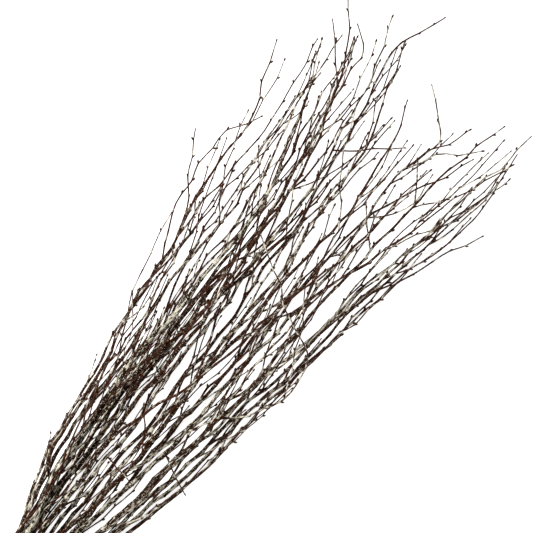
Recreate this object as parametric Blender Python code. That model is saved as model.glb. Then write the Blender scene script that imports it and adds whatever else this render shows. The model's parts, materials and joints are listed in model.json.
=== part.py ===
"""A bunch of nineteen birch branches, tied with twine near the butts and lying on its side.

Metres, +Z up. The bunch lies along X, its butts at low X and its tips at high X. Each stem follows guide
points laid out in plan, as the bunch is seen from above. Its limbs and side twigs grow by rule, each with its
own seed, and each one has to stay clear of the wood that is there already. A branch is split at its main
forks, so a stem and each of its limbs is an object of its own, and their side twigs are joined to them.
"""

from collections import namedtuple

import bmesh
import bpy
import numpy as np

# Driving dimensions of the tied end. The stems are packed by drawing them together a little at a time, and
# by pushing apart after each draw those that are too close.
TIE_ALONG = 0.125
TWINE_RADIUS = 0.0015
TWINE_TURNS = 3
TWINE_PITCH = 0.0036
ROUNDING_OF_TURN = 6
STRAIGHT_PAST_TIE = 0.02
PACKING_GAP = 0.0006
LOOSE_SPREAD = 0.6
DRAWS = 220
DRAWN_IN = 0.985
LAST_PUSHES = 40
PUSHES_PER_DRAW = 14
PUSH = 0.35

# Driving dimensions of the wood.
TIP_RADIUS = 0.0008
FORK_GAP = 0.0004
CLEARANCE = 0.0005
TOP_OF_BUNCH = 0.185
SUNK_INTO_TABLE = 0.85
TAPER_POWER = 0.95
RISE_AT_BASE = 1.25
POINTS_TOWARD_TIP = 1.3

# How far a stem may move up or down, or aside, to be clear of the others. The first move that does is taken.
HEIGHT_SHIFTS = sorted(np.arange(-0.050, 0.051, 0.005), key=abs)
SIDE_SHIFTS = (0, 0.003, -0.003, 0.006, -0.006)

# How many points a stem has, and a shoot with a course of its own, how many limbs grow from a stem, and how
# many twigs from a stem and from two limbs in turn.
STEM_POINTS = 12
ODD_POINTS = 10
LIMBS_PER_STEM = 2
TWIGS_ON_STEM = 2
TWIGS_ON_LIMB = (1, 0)

# How a kind of shoot grows: its base as a share of its parent's radius and never thinner than a least radius,
# its tip radius, its points, how far it leans off its parent in degrees, how much its tip bends to the
# bunch's left, which was up when the tree stood, and the greatest and least length that it may have.
Growth = namedtuple("Growth", "share least tip points lean bend longest shortest")
LIMB = Growth(0.70, 0.0012, 0.0008, points=7, lean=(15, 25), bend=0.05, longest=0.62, shortest=0.30)
TWIG = Growth(0.55, 0.0010, 0.0007, points=4, lean=(22, 40), bend=0.25, longest=0.24, shortest=0.05)

# A branch: the diameter at its butt, where its cut end lies, the height of its tip over the table, and the
# points (along, across) that its stem passes through past the tie. A height below zero means that the stem
# runs down to the table and lies along it.
MM = 0.001
Branch = namedtuple("Branch", "girth cut height guides")


def branch(girth, cut, height, *guides):
    """One branch, from sizes in millimetres."""
    course = [(along * MM, across * MM) for along, across in guides]
    return Branch(girth * MM, cut * MM, height * MM, course)


BRANCHES = (
    branch(5.0, 12, 10, (340, 68), (490, 99), (665, 126), (706, 152), (765, 187)),
    branch(5.4, 4, 90, (340, 60), (547, 100), (745, 133), (818, 141), (907, 175)),
    branch(10.2, 0, 125, (340, 42), (500, 60), (700, 59), (803, 77), (941, 134)),
    branch(8.0, 20, 30, (340, 30), (537, 39), (702, 46), (898, 78), (973, 140)),
    branch(7.0, 8, 160, (340, 18), (549, 27), (746, 42), (942, 95), (995, 139)),
    branch(6.0, 15, 95, (340, 6), (569, 18), (787, 30), (891, 46), (1018, 85)),
    branch(5.6, 2, -10, (340, -4), (576, 1), (817, 23), (1010, 58), (1068, 39)),
    branch(6.4, 24, 150, (340, -12), (588, -10), (832, 5), (911, 21), (1001, 54)),
    branch(7.2, 6, 70, (340, -20), (583, -16), (800, -22), (881, -17), (953, 8)),
    branch(7.0, 18, 130, (340, -30), (563, -47), (746, -52), (886, -40), (930, -49), (960, -39), (982, -2)),
    branch(6.2, 10, 10, (340, -28), (599, -35), (785, -42), (907, -80), (952, -100)),
    branch(7.6, 1, 75, (340, 50), (470, 53), (640, 53), (760, 70), (925, 98)),
    branch(6.8, 22, 165, (340, -45), (587, -68), (825, -73), (904, -82), (998, -98)),
    branch(5.4, 7, 55, (340, -49), (603, -78), (721, -94), (913, -122), (1016, -134)),
    branch(5.8, 14, 120, (340, -56), (606, -86), (834, -114), (929, -136), (969, -133)),
    branch(6.0, 3, 10, (340, -64), (605, -96), (741, -108), (913, -137), (963, -146)),
    branch(5.8, 19, 45, (340, 58), (480, 72), (600, 86), (700, 88), (880, 112)),
    branch(5.2, 11, 40, (340, -74), (587, -105), (691, -113), (796, -138), (888, -170)),
    branch(6.2, 5, 110, (340, 36), (500, 44), (660, 48), (780, 44), (900, 50)),
)

# Limbs and twigs with a course of their own: the branch that each one grows from, the height of its tip, and
# its course in plan, which starts beside the stem.
Odd = namedtuple("Odd", "branch height guides")
ODD_LIMBS = (
    Odd(1, 0.105, ((0.610, 0.116), (0.695, 0.145), (0.760, 0.156), (0.825, 0.129))),
    Odd(10, 0.165, ((0.475, -0.040), (0.590, -0.105), (0.629, -0.106), (0.666, -0.049), (0.714, 0.042))),
)

# Twigs that lie across the others: three short ones low in the bunch and six among the tips.
ODD_TWIG = TWIG._replace(least=0.0011, tip=0.0008)
ODD_TWIGS = (
    Odd(6, 0.120, ((0.392, 0.009), (0.391, -0.010), (0.389, -0.034))),
    Odd(6, 0.110, ((0.462, 0.012), (0.445, -0.004), (0.427, -0.019))),
    Odd(10, 0.110, ((0.440, -0.038), (0.432, -0.064), (0.422, -0.090))),
    Odd(6, 0.120, ((0.850, 0.040), (0.870, 0.015), (0.887, -0.004), (0.906, -0.024))),
    Odd(10, 0.150, ((0.890, -0.041), (0.921, -0.051), (0.948, -0.065), (0.969, -0.073))),
    Odd(10, 0.135, ((0.880, -0.041), (0.915, -0.054), (0.933, -0.067), (0.946, -0.085), (0.962, -0.096))),
    Odd(13, 0.160, ((0.860, -0.077), (0.884, -0.062), (0.904, -0.046))),
    Odd(13, 0.155, ((0.784, -0.073), (0.801, -0.056), (0.825, -0.032))),
    Odd(5, 0.165, ((0.880, 0.074), (0.925, 0.080), (0.955, 0.082), (0.969, 0.094), (0.979, 0.109))),
)

# How far the limbs and twigs reach: to the left and to the right at places along the bunch, and along it
# at places from its right to its left.
LEFT_EDGE = ((0.13, 0.035), (0.33, 0.073), (0.56, 0.113), (0.66, 0.150), (0.90, 0.160), (1.10, 0.184))
RIGHT_EDGE = ((0.13, 0.035), (0.36, 0.082), (0.55, 0.105), (0.74, 0.122), (0.89, 0.148), (1.10, 0.156))
TIP_EDGE = (
    (-0.17, 0.88),
    (-0.14, 0.99),
    (-0.10, 0.99),
    (-0.06, 0.96),
    (0.02, 0.95),
    (0.06, 1.02),
    (0.09, 1.01),
    (0.13, 0.95),
    (0.15, 0.90),
    (0.17, 0.90),
    (0.18, 0.78),
)

# The point that the shoots fan out from, and how a shoot's direction is found. It tries one azimuth about
# its parent after another, each with a small error, and when none is clear it tries all again at a shorter
# length. Its tip ends up between its parent's way and the fan's, turned outward and aside by a little.
FAN_POINT = (-0.10, 0.0, 0.03)
SHORTER = (1, 0.85, 0.7, 0.55)
AZIMUTH_TRIES = 14
AZIMUTH_STEP = 0.42
AZIMUTH_ERROR = 0.15
TURNED_OUT = (-0.10, 0.40)
TURNED_ASIDE = 0.10

# Where limbs and twigs fork off: the stem's stations where its first and second limb may start, the share
# of the stem's rest that a limb may run to, how much shorter a twig is toward its parent's tip, the spread of
# the twigs' lengths, and how far in radians limbs and twigs stray from pointing level to one side.
LIMB_STATIONS = (2, 4)
LIMB_REACH = (0.6, 1.0)
ODD_THINNER = 0.8
TWIG_STATIONS_OF_STEM = (3, 10)
TWIG_STATIONS_OF_LIMB = (1, 5)
SHORTER_AT_TIP = 0.14
TWIG_LENGTHS = (0.7, 1.1)
LIMB_STRAY = 0.7
TWIG_STRAY = 0.8

STEM_BARK = (0.110, 0.080, 0.060)
LIMB_BARK = (0.100, 0.045, 0.028)
TWINE_TAN = (0.45, 0.32, 0.18)
BARK_ROUGHNESS = 0.75
TWINE_ROUGHNESS = 0.95

Shoot = namedtuple("Shoot", "name parent points radii")


def unit(vector):
    return vector / np.linalg.norm(vector)


def smooth_between(stations, values, at):
    """Values at the given places on a smooth curve through the stations that doesn't overshoot them."""
    step = np.diff(stations)
    slope = np.diff(values) / step
    before, after = slope[:-1], slope[1:]
    same_way = before * after > 0
    mean = np.where(same_way, 2 * before * after / np.where(same_way, before + after, 1), 0)
    tangent = np.concatenate([slope[:1], mean, slope[-1:]])
    i = np.clip(np.searchsorted(stations, at, side="right") - 1, 0, len(step) - 1)
    t = (at - stations[i]) / step[i]
    return (
        (2 * t**3 - 3 * t**2 + 1) * values[i]
        + (t**3 - 2 * t**2 + t) * step[i] * tangent[i]
        + (3 * t**2 - 2 * t**3) * values[i + 1]
        + (t**3 - t**2) * step[i] * tangent[i + 1]
    )


def arc(start, leave, arrive, length, count):
    """A cubic Bezier curve of about this length that leaves one way and bends round to another."""
    third = length / 3
    a = start + leave * third
    b = a + unit(leave + arrive) * third
    end = b + arrive * third
    t = np.linspace(0, 1, count)[:, None]
    return (1 - t) ** 3 * start + 3 * t * (1 - t) ** 2 * a + 3 * t**2 * (1 - t) * b + t**3 * end


def taper(base, tip, count):
    return tip + (base - tip) * (1 - np.linspace(0, 1, count)) ** TAPER_POWER


def rising(low, high, share):
    """The height along a shoot: it climbs fastest near its base."""
    return low + (high - low) * (RISE_AT_BASE * share - (RISE_AT_BASE - 1) * share**2)


def resting(points, radii):
    """The same points, with no wood under the table but the little that is flattened where it rests."""
    points = points.copy()
    points[:, 2] = np.maximum(points[:, 2], SUNK_INTO_TABLE * radii)
    return points


def segment_distances(a0, a1, b0, b1):
    """The least distance from each segment a to each segment b."""
    u, v, w = (a1 - a0)[:, None], (b1 - b0)[None], a0[:, None] - b0[None]
    uu, uv, vv = (u * u).sum(-1), (u * v).sum(-1), (v * v).sum(-1)
    uw, vw = (u * w).sum(-1), (v * w).sum(-1)
    s = np.clip((uv * vw - vv * uw) / np.maximum(uu * vv - uv * uv, 1e-14), 0, 1)
    t = np.clip((uv * s + vw) / vv, 0, 1)
    s = np.clip((uv * t - uw) / uu, 0, 1)
    return np.linalg.norm(w + s[..., None] * u - t[..., None] * v, axis=-1)


class Thicket:
    """The wood placed so far, which each new shoot has to stay clear of."""

    def __init__(self):
        self.shoots = {}
        self.owners = []
        self.starts = np.empty((0, 3))
        self.ends = np.empty((0, 3))
        self.thickness = np.empty(0)

    def add(self, shoot):
        self.shoots[shoot.name] = shoot
        self.owners += [shoot.name] * (len(shoot.points) - 1)
        self.starts = np.concatenate([self.starts, shoot.points[:-1]])
        self.ends = np.concatenate([self.ends, shoot.points[1:]])
        self.thickness = np.concatenate([self.thickness, np.maximum(shoot.radii[:-1], shoot.radii[1:])])

    def room(self, points, radii, parent=None):
        """The least gap to the rest of the wood. The first stretch may lie inside the shoot's parent."""
        if not self.owners:
            return np.inf
        gap = segment_distances(points[:-1], points[1:], self.starts, self.ends)
        gap -= np.maximum(radii[:-1], radii[1:])[:, None] + self.thickness[None]
        gap[0, [owner == parent for owner in self.owners]] = np.inf
        return gap.min()


def packed_butts(radii, toward):
    """Where the stems pass the tie, as (across, up): drawn tight, each on the side that it fans out to."""
    places = toward * LOOSE_SPREAD
    reach = radii[:, None] + radii[None] + PACKING_GAP
    others = ~np.eye(len(radii), dtype=bool)
    for draw in range(DRAWS + LAST_PUSHES):
        if draw < DRAWS:
            places = places * DRAWN_IN
        for _ in range(PUSHES_PER_DRAW):
            apart = places[:, None] - places[None]
            distance = np.linalg.norm(apart, axis=-1) + 1e-9
            push = np.where(others, np.maximum(reach - distance, 0), 0)
            places = places + (apart / distance[..., None] * push[..., None]).sum(1) * PUSH
    return places


def convex_outline(points):
    """The convex outline of points in a plane, counter-clockwise."""
    points = points[np.lexsort((points[:, 1], points[:, 0]))]

    def chain(ordered):
        kept = []
        for p in ordered:
            while len(kept) > 1:
                a, b = kept[-1] - kept[-2], p - kept[-1]
                if a[0] * b[1] - a[1] * b[0] > 0:
                    break
                kept.pop()
            kept.append(p)
        return kept[:-1]

    return np.array(chain(points) + chain(points[::-1]))


def twine_loop(places, radii):
    """One turn of the taut twine round the packed stems, as (across, up), starting on top."""
    angles = np.linspace(0, 2 * np.pi, ROUNDING_OF_TURN, endpoint=False)
    ring = np.stack([np.cos(angles), np.sin(angles)], axis=1) / np.cos(np.pi / ROUNDING_OF_TURN)
    reach = radii + TWINE_RADIUS + PACKING_GAP
    outline = convex_outline((places[:, None] + ring[None] * reach[:, None, None]).reshape(-1, 2))
    return np.roll(outline, -outline[:, 1].argmax(), axis=0)


def stem_path(branch, slot, height, aside):
    """A stem from its cut end through its place at the tie, along its guide points and up to its tip."""
    tip_along = branch.guides[-1][0]
    straight_end = TIE_ALONG + STRAIGHT_PAST_TIE
    alongs = np.array([0.0, TIE_ALONG, straight_end] + [along for along, _ in branch.guides])
    acrosses = np.array([slot[0]] * 3 + [across + aside for _, across in branch.guides])
    share = np.clip((alongs - straight_end) / (tip_along - straight_end), 0, 1)
    heights = rising(slot[1], height, share)
    closer_at_tip = 1 - (1 - np.linspace(0, 1, STEM_POINTS - 1)) ** POINTS_TOWARD_TIP
    at = np.concatenate([[branch.cut], straight_end + (tip_along - straight_end) * closer_at_tip])
    return np.stack([at, smooth_between(alongs, acrosses, at), smooth_between(alongs, heights, at)], axis=1)


def place_stems(thicket):
    """Places every stem at the nearest height to its own where it is clear, and returns the twine's loop."""
    radii = np.array([branch.girth / 2 for branch in BRANCHES])
    toward = np.array([(branch.guides[1][1], max(branch.height, 0)) for branch in BRANCHES])
    places = packed_butts(radii, toward - toward.mean(0))
    loop = twine_loop(places, radii)
    lift = SUNK_INTO_TABLE * TWINE_RADIUS - loop[:, 1].min()
    places[:, 1] += lift
    loop[:, 1] += lift
    shifts = [(aside, rise) for aside in SIDE_SHIFTS for rise in HEIGHT_SHIFTS]
    for number, branch in enumerate(BRANCHES):
        thickness = taper(branch.girth / 2, TIP_RADIUS, STEM_POINTS)
        tries = []
        for aside, rise in shifts:
            points = resting(stem_path(branch, places[number], branch.height + rise, aside), thickness)
            tries.append((thicket.room(points, thickness), points))
            if tries[-1][0] > CLEARANCE:
                break
        points = max(tries, key=lambda found: found[0])[1]
        thicket.add(Shoot(f"branch_{number + 1:02d}_stem", None, points, thickness))
    return loop


def within_bunch(points):
    along, across, up = points.T
    inside = across < np.interp(along, *np.transpose(LEFT_EDGE))
    inside &= across > -np.interp(along, *np.transpose(RIGHT_EDGE))
    inside &= along < np.interp(across, *np.transpose(TIP_EDGE))
    return inside.all() and up.max() < TOP_OF_BUNCH


def fork_at(parent, station):
    """The parent's place, direction and radius at a station: 2.5 is halfway between its points 2 and 3."""
    k = min(int(station), len(parent.points) - 2)
    f = station - k
    place = parent.points[k] * (1 - f) + parent.points[k + 1] * f
    radius = parent.radii[k] * (1 - f) + parent.radii[k + 1] * f
    return place, unit(parent.points[k + 1] - parent.points[k]), radius


def grow(thicket, name, parent, station, growth, length, side, rng):
    """Grows one shoot from a fork, or none where no azimuth and length is clear."""
    start, along, thickness = fork_at(parent, station)
    level = unit(np.cross(along, (0, 0, 1)))
    upward = np.cross(level, along)
    fan = unit(start - np.array(FAN_POINT))
    radii = taper(max(thickness * growth.share, growth.least), growth.tip, growth.points)
    for shorter in SHORTER:
        for turn in range(AZIMUTH_TRIES):
            swing = (turn + 1) // 2 * (-1) ** turn * AZIMUTH_STEP
            azimuth = side + swing + rng.uniform(-AZIMUTH_ERROR, AZIMUTH_ERROR)
            outward = np.cos(azimuth) * level + np.sin(azimuth) * upward
            lean = np.radians(rng.uniform(*growth.lean))
            leave = np.cos(lean) * along + np.sin(lean) * outward
            turned = outward * rng.uniform(*TURNED_OUT) + rng.normal(0, TURNED_ASIDE, 3)
            arrive = unit((along + fan) / 2 + turned + np.array((0, growth.bend, 0)))
            points = resting(arc(start, leave, arrive, length * shorter, growth.points), radii)
            points[0] = start
            if within_bunch(points) and thicket.room(points, radii, parent.name) > CLEARANCE:
                thicket.add(Shoot(name, parent.name, points, radii))
                return


def place_odd(thicket, name, odd, growth):
    """A limb or twig with a course of its own, at the nearest height to its own where it is clear."""
    parent = thicket.shoots[f"branch_{odd.branch:02d}_stem"]
    station = np.interp(odd.guides[0][0], parent.points[:, 0], np.arange(len(parent.points)))
    start, _, thickness = fork_at(parent, station)
    course = np.array(odd.guides)
    course[0] = start[:2]
    run = np.concatenate([[0], np.cumsum(np.linalg.norm(np.diff(course, axis=0), axis=1))])
    at = np.linspace(0, run[-1], ODD_POINTS)
    across_plan = [smooth_between(run, course[:, axis], at) for axis in (0, 1)]
    base = max(thickness * growth.share * ODD_THINNER, growth.least)
    radii = taper(base, growth.tip, ODD_POINTS)
    tries = []
    for rise in HEIGHT_SHIFTS:
        heights = rising(start[2], odd.height + rise, at / run[-1])
        points = resting(np.stack([*across_plan, heights], axis=1), radii)
        tries.append((thicket.room(points, radii, parent.name), points))
        if tries[-1][0] > CLEARANCE:
            break
    points = max(tries, key=lambda found: found[0])[1]
    thicket.add(Shoot(name, parent.name, points, radii))


def place_limbs(thicket):
    for odd in ODD_LIMBS:
        place_odd(thicket, f"branch_{odd.branch:02d}_limb_1", odd, LIMB)
    for limb in range(1, LIMBS_PER_STEM + 1):
        for number in range(1, len(BRANCHES) + 1):
            name = f"branch_{number:02d}_limb_{limb}"
            if name in thicket.shoots:
                continue
            rng = np.random.default_rng([number, limb])
            parent = thicket.shoots[f"branch_{number:02d}_stem"]
            station = LIMB_STATIONS[limb - 1] + rng.integers(1, 3) + rng.uniform(0.25, 0.75)
            left = parent.points[-1, 0] - fork_at(parent, station)[0][0]
            length = np.clip(left * rng.uniform(*LIMB_REACH), LIMB.shortest, LIMB.longest)
            side = rng.normal(0, LIMB_STRAY) + np.pi * ((number + limb) % 2)
            grow(thicket, name, parent, station, LIMB, length, side, rng)


def place_twigs(thicket):
    """Side twigs along the stems and limbs, longer near their bases, and then those with a course given."""
    axes = [shoot for shoot in thicket.shoots.values() if "twig" not in shoot.name]
    for row, axis in enumerate(axes):
        is_stem = axis.parent is None
        count = TWIGS_ON_STEM if is_stem else TWIGS_ON_LIMB[row % 2]
        first, last = TWIG_STATIONS_OF_STEM if is_stem else TWIG_STATIONS_OF_LIMB
        for twig in range(1, count + 1):
            rng = np.random.default_rng([row, 7, twig])
            step = first + int((last - first) * (twig - 0.5) / count + rng.uniform(-0.4, 0.6))
            station = step + rng.uniform(0.2, 0.8)
            share = (station - first) / (last - first)
            length = (TWIG.longest - SHORTER_AT_TIP * share) * rng.uniform(*TWIG_LENGTHS)
            length = np.clip(length, TWIG.shortest, TWIG.longest)
            side = rng.normal(0, TWIG_STRAY) + np.pi * (twig % 2)
            grow(thicket, f"{axis.name}_twig_{twig}", axis, station, TWIG, length, side, rng)
    for row, odd in enumerate(ODD_TWIGS):
        place_odd(thicket, f"branch_{odd.branch:02d}_stem_twig_odd_{row}", odd, ODD_TWIG)


def plain_material(name, color, roughness):
    material = bpy.data.materials.new(name)
    material.use_nodes = True
    shader = material.node_tree.nodes["Principled BSDF"]
    shader.inputs["Base Color"].default_value = (*color, 1)
    shader.inputs["Roughness"].default_value = roughness
    shader.inputs["Metallic"].default_value = 0
    material.diffuse_color = (*color, 1)
    return material


def tube(name, points, radii, bevel_resolution):
    """A closed tapering tube as a mesh, made from a curve with a bevel."""
    curve = bpy.data.curves.new(name, "CURVE")
    curve.dimensions = "3D"
    curve.bevel_depth = float(radii[0])
    curve.bevel_resolution = bevel_resolution
    curve.use_fill_caps = True
    spline = curve.splines.new("POLY")
    spline.points.add(len(points) - 1)
    for place, point, radius in zip(spline.points, points, radii):
        place.co = (*point, 1)
        place.radius = radius / radii[0]
    obj = bpy.data.objects.new(name, curve)
    bpy.context.scene.collection.objects.link(obj)
    mesh = bpy.data.meshes.new_from_object(obj.evaluated_get(bpy.context.evaluated_depsgraph_get()))
    bpy.data.objects.remove(obj)
    bpy.data.curves.remove(curve)
    edit = bmesh.new()
    edit.from_mesh(mesh)
    bmesh.ops.remove_doubles(edit, verts=edit.verts, dist=0.00001)
    edit.to_mesh(mesh)
    edit.free()
    return mesh


def wood_meshes(thicket):
    """A tube for each shoot, with six sides on a stem and four on the rest, and a cutter for each stem."""
    meshes = {}
    for shoot in thicket.shoots.values():
        is_stem = shoot.parent is None
        meshes[shoot.name] = tube(shoot.name, shoot.points, shoot.radii, 1 if is_stem else 0)
        if is_stem:
            name = shoot.name + "_cutter"
            meshes[name] = tube(name, shoot.points, shoot.radii + FORK_GAP, 1)
    return meshes


def helper_object(name, mesh, home):
    obj = bpy.data.objects.new(name, mesh)
    obj.display_type = "WIRE"
    obj.hide_render = True
    home.objects.link(obj)
    return obj


def wood_object(shoot, twigs, meshes, home, helpers, material):
    """A stem or limb with its twigs joined on. A limb's base is cut to its stem with a thin gap."""
    obj = bpy.data.objects.new(shoot.name, meshes[shoot.name])
    obj.data.materials.append(material)
    home.objects.link(obj)
    if twigs:
        group = bpy.data.collections.new(shoot.name + " twigs")
        helpers.children.link(group)
        for twig in twigs:
            helper_object(twig.name, meshes[twig.name], group).data.materials.append(material)
        join = obj.modifiers.new("Join twigs", "BOOLEAN")
        join.operation = "UNION"
        join.operand_type = "COLLECTION"
        join.collection = group
        join.solver = "EXACT"
    if shoot.parent:
        cut = obj.modifiers.new("Cut to the stem", "BOOLEAN")
        cut.operation = "DIFFERENCE"
        cut.object = helper_object(shoot.name + " cutter", meshes[shoot.parent + "_cutter"], helpers)
        cut.solver = "EXACT"
    return obj


def tie_object(loop, home, material):
    """The twine: taut turns side by side round the stems."""
    steps = np.arange(TWINE_TURNS * len(loop) + 1)
    ring = loop[steps % len(loop)]
    along = TIE_ALONG + TWINE_PITCH * (steps / len(loop) - TWINE_TURNS / 2)
    points = np.stack([along, ring[:, 0], ring[:, 1]], axis=1)
    obj = bpy.data.objects.new("tie", tube("tie", points, np.full(len(points), TWINE_RADIUS), 0))
    obj.data.materials.append(material)
    home.objects.link(obj)
    return obj


def apply_modifiers(objects):
    graph = bpy.context.evaluated_depsgraph_get()
    meshes = [bpy.data.meshes.new_from_object(obj.evaluated_get(graph)) for obj in objects]
    for obj, mesh in zip(objects, meshes):
        mesh.name = obj.name
        obj.modifiers.clear()
        obj.data = mesh


def flatten_and_center(objects):
    """Flattens what rests on the table, and moves the bunch so that the middle of its base is the origin."""
    corners = np.concatenate([np.array([v.co for v in obj.data.vertices]) for obj in objects])
    middle = (corners.min(0) + corners.max(0)) / 2
    for obj in objects:
        for vertex in obj.data.vertices:
            vertex.co = (vertex.co.x - middle[0], vertex.co.y - middle[1], max(vertex.co.z, 0))


def main():
    for obj in list(bpy.data.objects):
        bpy.data.objects.remove(obj)
    bunch = bpy.data.collections.new("birch branches")
    helpers = bpy.data.collections.new("helpers")
    bpy.context.scene.collection.children.link(bunch)
    bpy.context.scene.collection.children.link(helpers)
    helpers.hide_render = True

    thicket = Thicket()
    loop = place_stems(thicket)
    place_limbs(thicket)
    place_twigs(thicket)

    stem_bark = plain_material("stem bark", STEM_BARK, BARK_ROUGHNESS)
    limb_bark = plain_material("limb bark", LIMB_BARK, BARK_ROUGHNESS)
    solids = [tie_object(loop, bunch, plain_material("twine", TWINE_TAN, TWINE_ROUGHNESS))]
    meshes = wood_meshes(thicket)
    all_twigs = [shoot for shoot in thicket.shoots.values() if "twig" in shoot.name]
    for shoot in thicket.shoots.values():
        if "twig" in shoot.name:
            continue
        twigs = [twig for twig in all_twigs if twig.parent == shoot.name]
        material = stem_bark if shoot.parent is None else limb_bark
        solids.append(wood_object(shoot, twigs, meshes, bunch, helpers, material))
    apply_modifiers(solids)
    flatten_and_center(solids)


if __name__ == "__main__":
    main()
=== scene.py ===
import json
from collections import namedtuple

import bmesh
import bpy
import numpy as np
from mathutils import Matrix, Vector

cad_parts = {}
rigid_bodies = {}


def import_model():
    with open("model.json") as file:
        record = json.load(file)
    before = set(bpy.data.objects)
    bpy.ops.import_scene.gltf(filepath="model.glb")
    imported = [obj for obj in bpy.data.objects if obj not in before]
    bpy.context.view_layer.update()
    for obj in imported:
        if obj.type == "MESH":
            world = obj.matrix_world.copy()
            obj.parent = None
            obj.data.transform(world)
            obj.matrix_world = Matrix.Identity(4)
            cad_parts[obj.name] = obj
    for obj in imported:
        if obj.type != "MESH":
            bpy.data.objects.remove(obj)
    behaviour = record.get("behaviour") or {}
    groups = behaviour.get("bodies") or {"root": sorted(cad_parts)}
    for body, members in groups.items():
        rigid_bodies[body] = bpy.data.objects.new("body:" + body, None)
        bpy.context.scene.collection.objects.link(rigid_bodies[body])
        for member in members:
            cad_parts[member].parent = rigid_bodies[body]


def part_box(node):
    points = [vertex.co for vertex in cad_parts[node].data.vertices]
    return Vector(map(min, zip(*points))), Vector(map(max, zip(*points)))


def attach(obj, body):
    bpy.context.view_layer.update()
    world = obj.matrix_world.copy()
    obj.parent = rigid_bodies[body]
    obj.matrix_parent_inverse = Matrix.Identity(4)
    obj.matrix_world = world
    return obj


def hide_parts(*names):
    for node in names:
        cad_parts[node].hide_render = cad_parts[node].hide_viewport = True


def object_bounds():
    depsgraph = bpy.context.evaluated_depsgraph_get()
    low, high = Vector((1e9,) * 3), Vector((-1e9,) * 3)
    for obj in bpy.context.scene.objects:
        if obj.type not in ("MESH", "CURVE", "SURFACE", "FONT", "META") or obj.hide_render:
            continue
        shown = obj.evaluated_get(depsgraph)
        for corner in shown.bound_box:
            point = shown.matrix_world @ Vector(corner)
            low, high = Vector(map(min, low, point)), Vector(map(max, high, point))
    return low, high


for left_over in list(bpy.data.objects):
    bpy.data.objects.remove(left_over)
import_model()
cad_low, cad_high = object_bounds()

# Stems
# Nineteen birch branches, cut off at their butts. They are tight where the twine holds them and fan out from
# there. Their courses are the solids' own, in plan: X runs along the bunch from its lowest butt.
TIE_ALONG = 0.125
TWINE_RADIUS = 0.0015
STRAIGHT_PAST_TIE = 0.02
PACKING_GAP = 0.0006
LOOSE_SPREAD = 0.6
DRAWS = 220
DRAWN_IN = 0.985
LAST_PUSHES = 40
PUSHES_PER_DRAW = 14
PUSH = 0.35
ROUNDING_OF_TURN = 6
TIP_RADIUS = 0.0008
CLEARANCE = 0.0005
TOP_OF_BUNCH = 0.185
SUNK_INTO_TABLE = 0.85
STEM_POINTS = 12
TAPER_POWER = 0.95
RISE_AT_BASE = 1.25
POINTS_TOWARD_TIP = 1.3
HEIGHT_SHIFTS = sorted(np.arange(-0.050, 0.051, 0.005), key=abs)
SIDE_SHIFTS = (0, 0.003, -0.003, 0.006, -0.006)

# A branch: the diameter at its butt, where its cut end lies, the height of its tip over the table, how far
# across it passes the first guide, and the points (along, across) that it passes through then. A height below
# zero means that the stem runs down to the table and lies along it.
MM = 0.001
FIRST_GUIDE = 340
Branch = namedtuple("Branch", "girth cut height guides")


def branch(girth, cut, height, across_there, *guides):
    """One branch, from sizes in millimetres."""
    course = np.array(((FIRST_GUIDE, across_there), *guides)) * MM
    return Branch(girth * MM, cut * MM, height * MM, course)


BRANCH_ROWS = (
    (5.0, 12, 10, 68, (490, 99), (665, 126), (706, 152), (765, 187)),
    (5.4, 4, 90, 60, (547, 100), (745, 133), (818, 141), (907, 175)),
    (10.2, 0, 125, 42, (500, 60), (700, 59), (803, 77), (941, 134)),
    (8.0, 20, 30, 30, (537, 39), (702, 46), (898, 78), (973, 140)),
    (7.0, 8, 160, 18, (549, 27), (746, 42), (942, 95), (995, 139)),
    (6.0, 15, 95, 6, (569, 18), (787, 30), (891, 46), (1018, 85)),
    (5.6, 2, -10, -4, (576, 1), (817, 23), (1010, 58), (1068, 39)),
    (6.4, 24, 150, -12, (588, -10), (832, 5), (911, 21), (1001, 54)),
    (7.2, 6, 70, -20, (583, -16), (800, -22), (881, -17), (953, 8)),
    (7.0, 18, 130, -30, (563, -47), (746, -52), (886, -40), (930, -49), (960, -39), (982, -2)),
    (6.2, 10, 10, -28, (599, -35), (785, -42), (907, -80), (952, -100)),
    (7.6, 1, 75, 50, (470, 53), (640, 53), (760, 70), (925, 98)),
    (6.8, 22, 165, -45, (587, -68), (825, -73), (904, -82), (998, -98)),
    (5.4, 7, 55, -49, (603, -78), (721, -94), (913, -122), (1016, -134)),
    (5.8, 14, 120, -56, (606, -86), (834, -114), (929, -136), (969, -133)),
    (6.0, 3, 10, -64, (605, -96), (741, -108), (913, -137), (963, -146)),
    (5.8, 19, 45, 58, (480, 72), (600, 86), (700, 88), (880, 112)),
    (5.2, 11, 40, -74, (587, -105), (691, -113), (796, -138), (888, -170)),
    (6.2, 5, 110, 36, (500, 44), (660, 48), (780, 44), (900, 50)),
)
BRANCHES = [branch(*row) for row in BRANCH_ROWS]

# A shoot is any stem, limb or twig. Its station is where it forks from its parent, and its home is the node
# of the frame that it belongs to.
Shoot = namedtuple("Shoot", "name parent station home points radii")


def unit(vector):
    return vector / np.linalg.norm(vector)


def run_along(points):
    """The length along a line of points, from its first point to each."""
    return np.concatenate([[0], np.cumsum(np.linalg.norm(np.diff(points, axis=0), axis=1))])


def curve_through(stations, values, slopes, at):
    """Values at the given places on the curve that has these values and slopes at its stations."""
    i = np.clip(np.searchsorted(stations, at, side="right") - 1, 0, len(stations) - 2)
    step = (stations[i + 1] - stations[i]).reshape(-1, *[1] * (values.ndim - 1))
    t = (at - stations[i]).reshape(step.shape) / step
    return (
        (2 * t**3 - 3 * t**2 + 1) * values[i]
        + (t**3 - 2 * t**2 + t) * step * slopes[i]
        + (3 * t**2 - 2 * t**3) * values[i + 1]
        + (t**3 - t**2) * step * slopes[i + 1]
    )


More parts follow.
